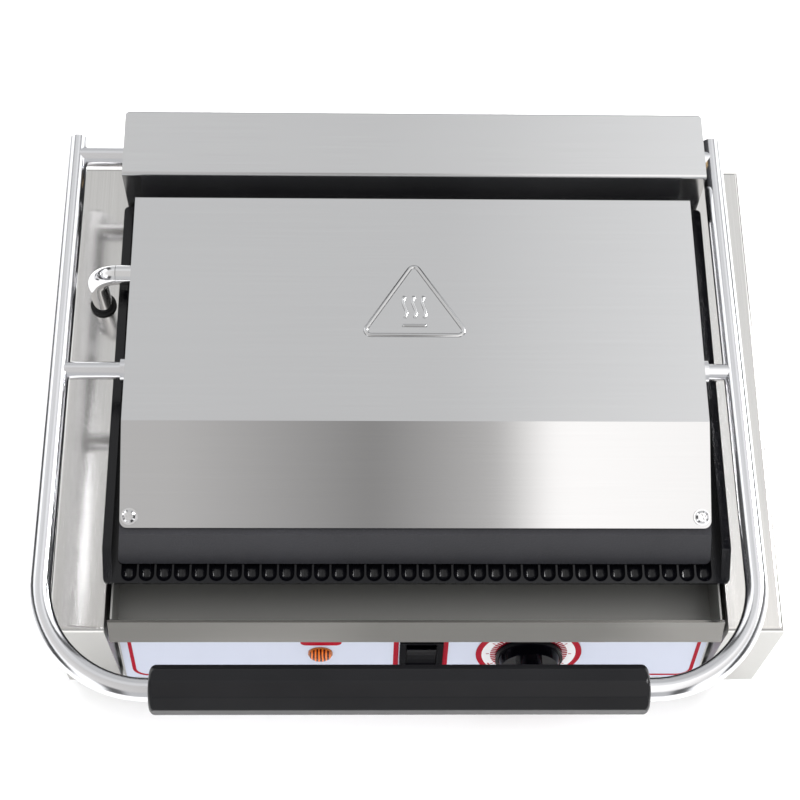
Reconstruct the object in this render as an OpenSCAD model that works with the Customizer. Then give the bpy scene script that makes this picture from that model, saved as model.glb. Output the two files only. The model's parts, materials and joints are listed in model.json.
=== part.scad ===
// Electric contact grill (panini press) with one wide pair of ribbed cast-iron plates.
// Millimetres, +Z up, front towards -Y. The origin is at the middle of the object's box,
// on the surface that the feet stand on. Most pieces are drawn from the middle of the
// casing's top ledge, and at_ledge() puts them in place.

/* [Casing] */
// Width of the steel casing
case_w = 410; // [380:1:440]
// Depth of the steel casing
case_d = 301; // [290:1:320]
// Height of the steel casing, without its feet
case_h = 94; // [88:1:110]
// Height of the rubber feet
foot_h = 18; // [12:1:30]
// Thickness of the casing sheet
sheet = 1.5; // [1:0.1:2]
// Half width of the bay between the two front cheeks
bay_half = 173.4; // [170:0.1:178]

/* [Control panel] */
// Lean of the panel back from upright, in degrees
panel_tilt = 10.5; // [5:0.5:14]
// Height of the controls' centre line above the panel's foot
control_up = 32; // [28:1:36]
// Diameter of the thermostat knob
knob_d = 39.5; // [34:0.5:42]
// Diameter of the printed dial ring
dial_d = 62; // [56:1:63]

/* [Plates] */
// Width of the lower cooking plate
plate_w = 347; // [340:1:350]
// Height of the lower plate's cooking face above the casing's ledge
cook_z = 13.6; // [11:0.1:16]
// Height of the lower plate's rim above the casing's ledge
rim_z = 24; // [20:0.5:26]
// Number of grooves across each plate
groove_n = 34; // [20:1:34]
// Distance between neighbouring grooves
groove_pitch = 9.66; // [9.2:0.01:9.7]

/* [Lid] */
// Width of the lid's cover
cover_w = 323; // [316:1:326]
// Height of the cover's flat top above the casing's ledge
cover_z = 58.5; // [56:0.5:62]
// Height of the hinge shaft above the casing's ledge
hinge_z = 44; // [40:1:46]

/* [Handle] */
// Diameter of the bent bar
bar_d = 12; // [10:0.5:12]
// Diameter of the ten-sided grip
grip_d = 25.5; // [22:0.5:28]
// Distance of the grip's axis in front of the casing's middle
grip_reach = 200; // [190:1:220]
// Height of the grip's axis above the casing's ledge
grip_z = 56; // [50:1:64]
// Radius of the bar's two bends
bar_bend = 60; // [45:1:70]

/* [Hidden] */
$fn = 48;

fit = 0.05;               // radial running clearance on shafts and bushes
slack = 0.15;             // clearance round screws and seated pieces
eps = 0.01;

// Casing, from the middle of its ledge
ledge_z = foot_h + case_h;
gland_out = 14.25;        // what the cable gland adds behind the casing
case_y = (grip_reach + grip_d / 2 - case_d / 2 - gland_out) / 2;
half_w = case_w / 2;
front_y = -case_d / 2;
rear_y = case_d / 2;
bend_r = 3;               // outside radius of the casing's folds
bay_back = -84;           // back end of the tray bay
well_half = 158;          // heater well under the lower plate
well_rear = 92;
side_head_h = 1.5;        // height of the casing's side screw heads
side_screw_y = [-118, 0, 118];
side_screw_z = -case_h + 9;

// Feet
foot_x = 186;
foot_y = 118;
foot_r = 15;

// Control panel: drawn flat with X across, Z up the panel and -Y outwards
panel_half = 171.8;
panel_len = 64.5;
panel_t = 1.2;
panel_foot_y = front_y + 1.2;
panel_foot_z = -case_h + 0.6;
label_t = 0.4;
lamp_x = -54.8;
switch_x = 4.2;
dial_x = 67.3;
switch_w = 25.4;
switch_h = 31;
switch_body_w = 21.6;
switch_body_h = 27;
rocker_w = 17.2;
rocker_h = 24.6;
rocker_axis = 3.5;        // depth of the rocker's pivot behind the panel's face
knob_h = 20;
knob_gap = 1.2;
bulb_y = -50;
stem_r = 3;

// Plates
plate_front = -127.3;
plate_rear = 107.4;
rim_t = 5;
front_face_z = 11.4;      // lower edge of the lower plate's front face
rim_slope = 13.4;         // length over which the rim runs down at the front
groove_r = 4.3;
groove_front = -122;     // centre of the round groove ends
groove_rear = 92;
top_gap = 0.6;            // between the ribs of the two plates when closed
top_z = cook_z + top_gap;
top_front = -116.3;       // front foot of the upper casting
top_rear = 97;
top_half = 164.4;
top_wall_z = 37;          // top of the upper casting's wall
clamp_y = [-43, -1, 75];  // bolts of the upper heater's clamps

// Lid cover
lid_x = -1.2;             // the lid hangs a little left of the casing's middle
cover_t = 1;
cover_rear = 92.6;
cover_crease = -49.4;
cover_front = -104.7;
cover_drop = 19.4;        // fall of the sloped front below the flat top
cover_corner = 4;
cover_screw_x = 156.2;
cover_screw_y = -98.9;

// Hinge, with the shaft along X
hinge_y = 129.5;
shaft_r = 5.75;
box_front = 108.9;
box_rear = rear_y + 2.9;   // the box laps over the casing's back
box_half = 171.6;
box_z = 58;
box_t = 1.2;
box_lap = 9;              // how far the rear wall hangs down behind the casing
cheek_t = 3;
bush_r = 8;

// Handle, whose bar lies in a plane through the hinge shaft, a little left of the middle
bar_r = bar_d / 2;
arm_left = -half_w - side_head_h + bar_r;
arm_right = 178.6;
arm_rise = atan((grip_z - hinge_z) / (grip_reach + hinge_y));
arm_len = norm([grip_reach + hinge_y, grip_z - hinge_z]);
arm_tail = 12;            // bar behind the hinge shaft
grip_left = -139.6;
grip_right = 116.4;
rod_r = 5;
pivot_y = -14.8;            // the upper plate's own pivot
pivot_z = hinge_z + (hinge_y - pivot_y) * tan(arm_rise);
rod_arm = norm([hinge_y - pivot_y, pivot_z - hinge_z]);

// Chromed conduit for the upper heater's wires
conduit_r = 5.75;
conduit_x = -185.7;
conduit_y = 52.8;
conduit_z = 37.8;
conduit_bend = 12;

// Drip tray
tray_half = 170.4;
tray_front = -145.2;
tray_back = bay_back - 1;
tray_floor = -29;
tray_t = 1;
lip_half = 171.6;
lip_out = 7;
lip_drop = 15;

// ---------------------------------------------------------------- helpers

module at_ledge() {
    translate([0, case_y, ledge_z]) children();
}

// From the middle of the lid to its place above the casing
module at_lid() {
    at_ledge() translate([lid_x, 0, 0]) children();
}

// From a flat drawing on the panel's face to its place on the casing
module on_panel() {
    at_ledge() translate([0, panel_foot_y, panel_foot_z]) rotate([-panel_tilt, 0, 0]) children();
}

// Cylinder along X from x0 to x1
module rod_x(x0, x1, r) {
    translate([x0, 0, 0]) rotate([0, 90, 0]) cylinder(h = x1 - x0, r = r);
}

// Cylinder along Y from y0 to y1
module rod_y(y0, y1, r) {
    translate([0, y0, 0]) rotate([-90, 0, 0]) cylinder(h = y1 - y0, r = r);
}

// Box given by its two corners
module block(a, b) {
    translate(a) cube(b - a);
}

// Flat rectangle with round corners, about the middle
module round_rect(w, h, r) {
    square([w - 2 * r, h], center = true);
    square([w, h - 2 * r], center = true);
    for (x = [-1, 1], y = [-1, 1]) translate([x * (w / 2 - r), y * (h / 2 - r)]) circle(r);
}

// Flat rectangle standing on its base, with only its top corners round
module round_top(w, h, r) {
    translate([-w / 2, 0]) square([w, h - r]);
    translate([-w / 2 + r, 0]) square([w - 2 * r, h]);
    for (x = [-1, 1]) translate([x * (w / 2 - r), h - r]) circle(r);
}

// Box with folded top edges all round, standing on z = 0
module folded_box(w, d, h, r) {
    intersection() {
        translate([0, d / 2, 0]) rotate([90, 0, 0]) linear_extrude(d) round_top(w, h, r);
        translate([-w / 2, 0, 0]) rotate([90, 0, 90]) linear_extrude(w) round_top(d, h, r);
    }
}

// Pan-head screw along -Z, its head standing on z = 0, with a cross recess
module pan_screw(head_r, head_h, r, len) {
    difference() {
        union() {
            cylinder(h = head_h * 0.5, r = head_r);
            translate([0, 0, head_h * 0.5]) cylinder(h = head_h * 0.5, r1 = head_r, r2 = head_r * 0.72);
            translate([0, 0, -len]) cylinder(h = len, r = r);
        }
        for (a = [0, 90]) rotate([0, 0, a])
            translate([-head_r * 0.5, -head_r * 0.09, head_h * 0.45]) cube([head_r, head_r * 0.18, head_h]);
    }
}

// Run of round bar with half-turn bends, in the XY plane: n runs along X, from front to back
module heater_run(n, half, y0, y1, r) {
    step = (y1 - y0) / (n - 1);
    for (i = [0 : n - 1]) translate([0, y0 + i * step, 0]) rod_x(-half, half, r);
    for (i = [0 : n - 2])
        translate([(i % 2 == 0 ? 1 : -1) * half, y0 + (i + 0.5) * step, 0])
            rotate([0, 0, i % 2 == 0 ? -90 : 90])
                rotate_extrude(angle = 180) translate([step / 2, 0]) circle(r);
}

// Grooves with round ends, cut along Y into a face at z = 0
module grooves(y0, y1, depth_up) {
    for (i = [0 : groove_n - 1]) translate([(i - (groove_n - 1) / 2) * groove_pitch, 0, depth_up]) {
        rod_y(y0, y1, groove_r);
        for (y = [y0, y1]) translate([0, y, 0]) sphere(groove_r);
    }
}

// ---------------------------------------------------------------- base

module base_casing() {
    color("silver") at_ledge() {
        difference() {
            translate([0, 0, -case_h]) folded_box(case_w, case_d, case_h, bend_r);
            translate([0, 0, -case_h - eps])
                folded_box(case_w - 2 * sheet, case_d - 2 * sheet, case_h - sheet + eps, bend_r - sheet);
            block([-bay_half, front_y - 1, -case_h - 1], [bay_half, bay_back, 1]);
            block([-well_half, bay_back - eps, -sheet - 1], [well_half, well_rear, 1]);
            translate([conduit_x, conduit_y, -sheet - 1]) cylinder(h = sheet + 2, r = conduit_r + 1);
            translate([0, 0, -case_h + 30]) rod_y(rear_y - sheet - 1, rear_y + 1, 8);
            for (x = [-110 : 10 : 110]) if (abs(x) > 35)
                block([x - 2, rear_y - sheet - 1, -46], [x + 2, rear_y + 1, -22]);
            for (s = [-1, 1], y = side_screw_y) translate([s * half_w, y, side_screw_z])
                rod_x(-sheet - 1, sheet + 1, 2 + slack);
            for (s = [-1, 1], y = [118, 142]) translate([s * 158, y, -sheet - 1])
                cylinder(h = sheet + 2, r = 2 + slack);
            for (s = [-1, 1], y = [-70, 80]) translate([s * 164, y, -sheet - 1])
                cylinder(h = sheet + 2, r = 2.5 + slack);
        }
        // inner walls of the two cheeks, on both sides of the panel and the tray
        for (s = [0, 1]) mirror([s, 0, 0])
            block([bay_half, front_y + sheet - eps, -case_h], [bay_half + sheet, bay_back, -sheet + eps]);
    }
}

module base_bottom_plate() {
    inner_w = case_w - 2 * sheet - 2 * slack;
    inner_d = case_d - 2 * sheet - 2 * slack;
    color("gainsboro") at_ledge() translate([0, 0, -case_h]) difference() {
        union() {
            difference() {
                translate([-inner_w / 2, -inner_d / 2, 0]) cube([inner_w, inner_d, 1.2]);
                for (s = [0, 1]) mirror([s, 0, 0])
                    block([bay_half - slack - 10, -inner_d / 2 - 1, -1],
                          [bay_half + sheet + slack, bay_back, 2]);
                block([-bay_half, -inner_d / 2 - 1, -1], [bay_half, panel_foot_y + panel_t + 14, 2]);
            }
            for (s = [0, 1]) mirror([s, 0, 0])
                translate([inner_w / 2 - 1.2, -inner_d / 2, 0]) cube([1.2, inner_d, 16]);
        }
        for (x = [-foot_x, foot_x], y = [-foot_y, foot_y]) translate([x, y, -1])
            cylinder(h = 4, r = 2.5 + slack);
        for (s = [-1, 1], y = side_screw_y) translate([s * half_w, y, 9]) rod_x(-6, 6, 2 + slack);
        for (x = [-90 : 15 : 90], y = [-30, 50]) translate([x, y, -1]) linear_extrude(4)
            round_rect(4, 46, 1.9);
    }
}

module feet() {
    color("black") at_ledge() for (x = [-foot_x, foot_x], y = [-foot_y, foot_y])
        translate([x, y, -ledge_z]) difference() {
            union() {
                cylinder(h = 2, r1 = foot_r - 4, r2 = foot_r - 3);
                translate([0, 0, 2]) cylinder(h = foot_h - 2, r1 = foot_r - 3, r2 = foot_r);
            }
            translate([0, 0, -1]) cylinder(h = foot_h + 2, r = 2.5 + slack);
            translate([0, 0, -1]) cylinder(h = 6, r = 5.5);
        }
}

module foot_screws() {
    color("silver") at_ledge() for (x = [-foot_x, foot_x], y = [-foot_y, foot_y])
        translate([x, y, -ledge_z + 5]) rotate([180, 0, 0]) pan_screw(4.6, 2.6, 2.5, foot_h + 2);
}

module foot_nuts() {
    color("silver") at_ledge() for (x = [-foot_x, foot_x], y = [-foot_y, foot_y])
        translate([x, y, -case_h + 1.2]) difference() {
            cylinder(h = 4, r = 4.6, $fn = 6);
            translate([0, 0, -1]) cylinder(h = 6, r = 2.5 + slack);
        }
}

module case_screws() {
    color("silver") at_ledge() for (s = [-1, 1], y = side_screw_y)
        translate([s * half_w, y, side_screw_z]) rotate([0, s * 90, 0]) pan_screw(4, side_head_h, 2, 7);
}

module control_panel() {
    color("lightgray") on_panel() difference() {
        union() {
            translate([-panel_half, 0, 0]) cube([2 * panel_half, panel_t, panel_len]);
            translate([-panel_half, panel_t - eps, 0]) cube([2 * panel_half, 12, 1.2]);
            translate([-160, panel_t - eps, panel_len - 1.2]) cube([320, 14, 1.2]);
        }
        block([switch_x - switch_body_w / 2 - slack, -1, control_up - switch_body_h / 2 - slack],
              [switch_x + switch_body_w / 2 + slack, 3, control_up + switch_body_h / 2 + slack]);
        translate([lamp_x, 0, control_up]) rod_y(-1, 3, 5 + slack);
        translate([dial_x, 0, control_up]) rod_y(-1, 3, 5 + slack);
    }
}

module panel_label() {
    margin = 1.2;
    color("aliceblue") on_panel() difference() {
        translate([0, 0, panel_len / 2]) rotate([90, 0, 0])
            linear_extrude(label_t) round_rect(2 * (panel_half - margin), panel_len - 2 * margin, 2);
        block([switch_x - switch_body_w / 2 - slack, -1, control_up - switch_body_h / 2 - slack],
              [switch_x + switch_body_w / 2 + slack, 1, control_up + switch_body_h / 2 + slack]);
        translate([lamp_x, 0, control_up]) rod_y(-1, 1, 5 + slack);
        translate([dial_x, 0, control_up]) rod_y(-1, 1, 5 + slack);
    }
}

module dial_ring() {
    color("crimson") on_panel() translate([dial_x, -label_t, control_up]) rotate([90, 0, 0])
        difference() {
            cylinder(h = 0.5, r = dial_d / 2);
            translate([0, 0, -1]) cylinder(h = 3, r = 5 + slack);
        }
}

module switch_housing() {
    color("black") on_panel() translate([switch_x, 0, control_up]) difference() {
        union() {
            translate([0, -label_t, 0]) rotate([90, 0, 0]) linear_extrude(2.2)
                round_rect(switch_w, switch_h, 1.5);
            translate([-switch_body_w / 2, -label_t - eps, -switch_body_h / 2])
                cube([switch_body_w, 20, switch_body_h]);
        }
        translate([-rocker_w / 2 - 0.3, -5, -rocker_h / 2 - 1]) cube([rocker_w + 0.6, 15, rocker_h + 2]);
        translate([0, rocker_axis, 0]) rod_x(-10.2, 10.2, 1.5 + fit);
    }
    color("gold") on_panel() for (i = [-1, 1]) translate([switch_x + i * 5, 20 - label_t, control_up])
        translate([-0.4, -eps, -3]) cube([0.8, 8, 6]);
}

module lamp_body() {
    color("dimgray") on_panel() translate([lamp_x, 0, control_up]) difference() {
        union() {
            rod_y(-label_t - 0.9, -label_t, 7.2);
            rod_y(-label_t - eps, 24, 5);
        }
        rod_y(-5, 4, 4.2);
    }
}

module lamp_lens() {
    color("orange") on_panel() translate([lamp_x, -label_t - 0.9, control_up]) {
        rod_y(-1.4, 0, 6.3);
        translate([0, -1.4, 0]) intersection() {
            translate([0, 7.6, 0]) sphere(10);
            rod_y(-4, eps, 6.3);
        }
    }
}

module thermostat_body() {
    color("gainsboro") on_panel() translate([dial_x, panel_t, control_up]) difference() {
        union() {
            rod_y(0, 9, 4.8);
            translate([-18, 8, -16]) cube([36, 2, 32]);
            translate([0, 10 - eps, 0]) rod_y(0, 20, 15);
        }
        rod_y(-1, 20, stem_r + fit);
    }
}

// Sensing bulb under the lower plate and its thin tube to the thermostat
module thermostat_bulb() {
    low = -67.6;
    color("tan") at_ledge() {
        translate([0, bulb_y, -5]) rod_x(dial_x - 45, dial_x - 7, 3);
        translate([0, bulb_y, -5]) rod_x(dial_x - 8, dial_x, 1);
        translate([dial_x, bulb_y, -5]) sphere(1);
        translate([dial_x, bulb_y, low]) cylinder(h = -5 - low, r = 1);
        translate([dial_x, bulb_y, low]) sphere(1);
        translate([dial_x, 0, low]) rod_y(-112.5, bulb_y, 1);
    }
}

module terminal_block() {
    color("ivory") at_ledge() translate([0, 118, -case_h + 1.2]) difference() {
        translate([-24, -11, 0]) cube([48, 22, 20]);
        for (i = [-1, 0, 1]) translate([i * 15, 0, 11]) rod_y(-12, 12, 3);
        for (i = [-1, 0, 1], y = [-6, 6]) translate([i * 15, y, 15]) cylinder(h = 6, r = 2.6);
    }
}

// Bundle of insulated wires from the terminal block to the switch
module wire_loom() {
    color("firebrick") at_ledge() {
        translate([0, 0, -case_h + 12.2]) rod_y(-88, 106.8, 2.6);
        translate([0, -88, -case_h + 12.2]) sphere(2.6);
        translate([0, -88, -case_h + 12.2]) cylinder(h = 15, r = 2.6);
        translate([0, -88, -case_h + 27.2]) sphere(2.6);
        translate([0, 0, -case_h + 27.2]) rod_y(-115.7, -88, 2.6);
    }
}

module cable_gland() {
    color("black") at_ledge() translate([0, rear_y, -case_h + 30]) difference() {
        union() {
            rod_y(0, 5, 11);
            rod_y(5 - eps, gland_out, 8);
            rod_y(-sheet - 5, eps, 7.8);
        }
        rod_y(-sheet - 8, gland_out + 1, 4.4);
    }
}

module tray_runners() {
    color("gainsboro") at_ledge() for (s = [0, 1]) mirror([s, 0, 0]) {
        block([bay_half - 10, front_y + 16, tray_floor - 2], [bay_half - slack, bay_back, tray_floor - 1]);
        block([bay_half - 1.2, front_y + 16, tray_floor - 10], [bay_half - slack, bay_back, tray_floor - 1]);
    }
}

module lower_plate() {
    depth = plate_rear - plate_front;
    mid_y = (plate_rear + plate_front) / 2;
    color("#222222") at_ledge() difference() {
        translate([0, mid_y, 0]) linear_extrude(rim_z) round_rect(plate_w, depth, 3);
        // recess between the rims, open at the front
        translate([0, 0, cook_z]) linear_extrude(rim_z) polygon([
            [-plate_w / 2 + rim_t, plate_front - 1], [plate_w / 2 - rim_t, plate_front - 1],
            [plate_w / 2 - rim_t, plate_rear - rim_t], [-plate_w / 2 + rim_t, plate_rear - rim_t]]);
        // the side rims run down to the front edge
        translate([-plate_w, 0, 0]) rotate([90, 0, 90]) linear_extrude(2 * plate_w) polygon([
            [plate_front - 1, cook_z], [plate_front + 3, cook_z],
            [plate_front + 3 + rim_slope, rim_z + eps], [plate_front - 1, rim_z + 1]]);
        // undercut below the front edge
        translate([-plate_w, 0, 0]) rotate([90, 0, 90]) linear_extrude(2 * plate_w) polygon([
            [plate_front - 1, -1], [plate_front + 10, -1], [plate_front + 10, 0],
            [plate_front, front_face_z], [plate_front - 1, front_face_z]]);
        translate([0, 0, cook_z]) grooves(groove_front, groove_rear, 0.3);
        for (s = [-1, 1], y = [-70, 80]) translate([s * 164, y, -1]) cylinder(h = 8, r = 2.5 + slack);
        // bolt holes of the heater clamps
        for (x = [-80, 80], y = [-52, 12, 76]) translate([x, y, -1]) cylinder(h = 6, r = 2 + slack);
    }
}

module plate_studs() {
    color("silver") at_ledge() for (s = [-1, 1], y = [-70, 80]) translate([s * 164, y, 0]) {
        translate([0, 0, -14]) cylinder(h = 20, r = 2.5);
        translate([0, 0, -sheet - 1 - 2 * slack - 4]) cylinder(h = 4, r = 4.6, $fn = 6);
    }
}

module lower_heater() {
    color("dimgray") at_ledge() translate([0, 0, -4.2]) {
        heater_run(4, 118, -66, 30, 3.8);
        for (y = [-66, 30]) translate([-118, y, 0]) {
            sphere(3.8);
            translate([0, 0, -22]) cylinder(h = 22, r = 3.8);
            translate([0, 0, -30]) cylinder(h = 9, r = 1.5);
        }
    }
}

module lower_heater_clamps() {
    color("silver") at_ledge() for (x = [-80, 80]) difference() {
        union() {
            block([x - 8, -58, -10.4], [x + 8, 82, -8.4]);
            for (y = [-52, 12, 76]) translate([x, y, -10.4]) cylinder(h = 14, r = 2);
            for (y = [-52, 12, 76]) translate([x, y, -13]) cylinder(h = 2.6 + eps, r = 4, $fn = 6);
        }
    }
}

module heat_shield() {
    color("gainsboro") at_ledge() difference() {
        union() {
            block([-well_half + 1, bay_back + 1, -24], [well_half - 1, well_rear - 1, -sheet - slack]);
            block([-170, bay_back + 1, -sheet - slack - 1], [170, well_rear + 8, -sheet - slack]);
        }
        block([-well_half + 2, bay_back + 2, -23], [well_half - 2, well_rear - 2, 0]);
        for (y = [-66, 30]) translate([-118, y, -26]) cylinder(h = 4, r = 6);
        translate([dial_x, bulb_y, -26]) cylinder(h = 4, r = 3);
        for (s = [-1, 1], y = [-70, 80]) translate([s * 164, y, -5]) cylinder(h = 5, r = 2.5 + slack);
    }
}

module hinge_cover() {
    depth = box_rear - box_front;
    color("silver") at_ledge() difference() {
        union() {
            translate([-box_half, (box_front + box_rear) / 2, 0]) rotate([90, 0, 90])
                linear_extrude(2 * box_half) difference() {
                    round_top(depth, box_z, 1.9);
                    translate([0, -eps]) round_top(depth - 2 * box_t, box_z - box_t + eps, 0.7);
                }
            block([-box_half, box_rear - box_t, -box_lap], [box_half, box_rear, 1]);
        }
        for (s = [-1, 1]) translate([s * box_half, box_rear, box_z / 2]) rotate([0, 0, 45])
            cube([3.5, 3.5, 2 * box_z], center = true);
        for (s = [-1, 1]) translate([s * 150, 0, 10]) rod_y(box_rear - 3, box_rear + 1, 2 + slack);
    }
}

module hinge_cover_screws() {
    color("silver") at_ledge() for (s = [-1, 1]) translate([s * 150, box_rear, 10]) rotate([-90, 0, 0])
        pan_screw(4, 2, 2, 5);
}

module cheek_bolts() {
    color("silver") at_ledge() for (s = [-1, 1], y = [118, 142]) translate([s * 158, y, 0]) {
        translate([0, 0, -sheet - 3]) cylinder(h = sheet + 6, r = 2);
        translate([0, 0, cheek_t]) cylinder(h = 3, r = 3.8, $fn = 6);
        translate([0, 0, -sheet - 3]) cylinder(h = 3, r = 3.8, $fn = 6);
    }
}

module hinge_cheek(s) {
    inset = -0.3;         // the cheeks show a little beyond the box's ends
    color("dimgray") at_ledge() mirror([s, 0, 0]) difference() {
        union() {
            block([box_half - cheek_t - inset, box_front + box_t + slack, 0],
                  [box_half - inset, box_rear - box_t - 5, box_z - box_t - 1.5]);
            block([box_half - 30, box_front + box_t + slack, 0],
                  [box_half - inset, box_rear - box_t - 5, cheek_t]);
            block([box_half - 30, box_rear - box_t - 5 - eps, 0],
                  [box_half - 6, box_rear - box_t - slack, cheek_t]);
            block([box_half - 30, box_rear - box_t - slack - cheek_t, 0],
                  [box_half - 6, box_rear - box_t - slack, 20]);
        }
        translate([150, 0, 10]) rod_y(box_rear - 10, box_rear, 2 + slack);
        translate([0, hinge_y, hinge_z]) rod_x(box_half - 10, box_half + 1, bush_r + fit);
        for (y = [118, 142]) translate([158, y, -1]) cylinder(h = 6, r = 2 + slack);
        translate([0, 117, 12]) rod_x(box_half - 10, box_half + 1, 4 + fit);
    }
}

module hinge_cheek_left() {
    hinge_cheek(1);
}

module hinge_cheek_right() {
    hinge_cheek(0);
}

module hinge_bushes() {
    color("goldenrod") at_ledge() for (s = [0, 1]) mirror([s, 0, 0])
        translate([0, hinge_y, hinge_z]) difference() {
            union() {
                rod_x(box_half - cheek_t - 3, box_half - 0.3, bush_r);
                rod_x(box_half - cheek_t - 5, box_half - cheek_t - 0.3 - slack, bush_r + 2.5);
            }
            rod_x(box_half - 20, box_half + 5, shaft_r + fit);
        }
}

// Two close-wound springs round the shaft, each with a leg that bears on the anchor bar
module torsion_springs() {
    wire_r = 1.9;
    coil_r = 9;
    turns = 8;
    pitch = 3.9;
    last_x = (turns - 1) * pitch;
    color("slategray") at_ledge() for (s = [0, 1]) mirror([s, 0, 0])
        translate([118, hinge_y, hinge_z]) {
            rotate([0, 90, 0]) rotate_extrude() {
                for (i = [0 : turns - 1]) translate([coil_r, i * pitch]) circle(wire_r, $fn = 24);
                translate([coil_r - 0.5, 0]) square([1, last_x]);
            }
            translate([last_x, -coil_r, -27.8]) cylinder(h = 27.8, r = 1.4, $fn = 24);
        }
}

module spring_anchor() {
    color("dimgray") at_ledge() translate([0, 117, 12]) rod_x(-box_half + 1, box_half - 1, 4);
}

module conduit_grommet() {
    color("black") at_ledge() translate([conduit_x, conduit_y, 0]) rotate_extrude() difference() {
        translate([conduit_r + slack, -sheet - 1.5]) square([1.8, sheet + 2.9]);
        translate([conduit_r + 1 - slack, -sheet - slack]) square([4, sheet + slack * 2]);
    }
}

// Route of the conduit: out of the cover's side, down through the ledge
module conduit() {
    top_x = conduit_x + conduit_bend;
    low_z = conduit_z - conduit_bend;
    color("lightgray") at_ledge() translate([0, conduit_y, 0]) {
        translate([0, 0, conduit_z]) rod_x(top_x, lid_x - cover_w / 2 + 6, conduit_r);
        translate([top_x, 0, low_z]) rotate([90, 0, 0]) rotate([0, 0, 90])
            rotate_extrude(angle = 90) translate([conduit_bend, 0]) circle(conduit_r);
        translate([conduit_x, 0, -26]) cylinder(h = low_z + 26, r = conduit_r);
    }
}

// ---------------------------------------------------------------- lid arm

// From the handle's own plane, with Y back from the hinge shaft, to its place
module on_hinge() {
    at_ledge() translate([0, hinge_y, hinge_z]) rotate([-arm_rise, 0, 0]) children();
}

module handle_bar() {
    color("whitesmoke") on_hinge() {
        for (x = [arm_left, arm_right]) translate([x, 0, 0]) {
            rod_y(-arm_len + bar_bend, arm_tail, bar_r);
            translate([0, arm_tail - eps, 0]) rotate([-90, 0, 0]) cylinder(h = 2, r1 = bar_r, r2 = bar_r - 2);
        }
        translate([arm_left + bar_bend, -arm_len + bar_bend, 0]) rotate([0, 0, 180])
            rotate_extrude(angle = 90) translate([bar_bend, 0]) circle(bar_r);
        translate([arm_right - bar_bend, -arm_len + bar_bend, 0]) rotate([0, 0, 270])
            rotate_extrude(angle = 90) translate([bar_bend, 0]) circle(bar_r);
        translate([0, -arm_len, 0]) rod_x(arm_left + bar_bend, arm_right - bar_bend, bar_r);
    }
}

// Moulded grip with ten flats and softened ends
module handle_grip() {
    end_r = 3.2;
    len = grip_right - grip_left;
    color("#222222") on_hinge() translate([grip_left, -arm_len, 0]) rotate([0, 90, 0]) intersection() {
        rotate_extrude() {
            translate([bar_r + fit, 0]) square([grip_d / 2 - end_r - bar_r - fit, len]);
            translate([grip_d / 2 - end_r - eps, end_r]) square([end_r + eps, len - 2 * end_r]);
            for (z = [end_r, len - end_r]) translate([grip_d / 2 - end_r, z]) circle(end_r);
        }
        translate([0, 0, -1]) cylinder(h = len + 2, r = grip_d / 2 + 0.1, $fn = 10);
    }
}

module hinge_shaft() {
    color("silver") difference() {
        at_ledge() translate([0, hinge_y, hinge_z]) rod_x(arm_left, arm_right, shaft_r);
        on_hinge() for (x = [arm_left, arm_right]) translate([x, 0, 0]) rod_y(-20, 20, bar_r);
        at_ledge() translate([0, hinge_y, hinge_z]) rod_x(arm_left - 20, arm_left, shaft_r + 1);
        at_ledge() translate([0, hinge_y, hinge_z]) rod_x(arm_right, arm_right + 20, shaft_r + 1);
    }
}

module shaft_collars() {
    color("dimgray") at_ledge() for (s = [0, 1]) mirror([s, 0, 0])
        translate([0, hinge_y, hinge_z]) difference() {
            rod_x(102, 114, 10.5);
            rod_x(100, 120, shaft_r + fit);
        }
}

module pivot_rods() {
    inner = 138;
    color("whitesmoke") difference() {
        on_hinge() translate([0, -rod_arm, 0]) {
            rod_x(arm_left, -inner, rod_r);
            rod_x(inner, arm_right, rod_r);
        }
        on_hinge() for (x = [arm_left, arm_right]) translate([x, -rod_arm, 0]) rod_y(-20, 20, bar_r);
        on_hinge() translate([0, -rod_arm, 0]) {
            rod_x(arm_left - 20, arm_left, rod_r + 1);
            rod_x(arm_right, arm_right + 20, rod_r + 1);
        }
    }
}

// ---------------------------------------------------------------- upper plate

// Side outline of the upper casting, with its sloping nose at the front
module top_outline() {
    polygon([
        [top_front, top_z], [top_rear, top_z], [top_rear - 3, top_wall_z],
        [cover_front + 1, top_wall_z], [cover_front - 2.4, top_wall_z - 1.4]]);
}

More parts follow.
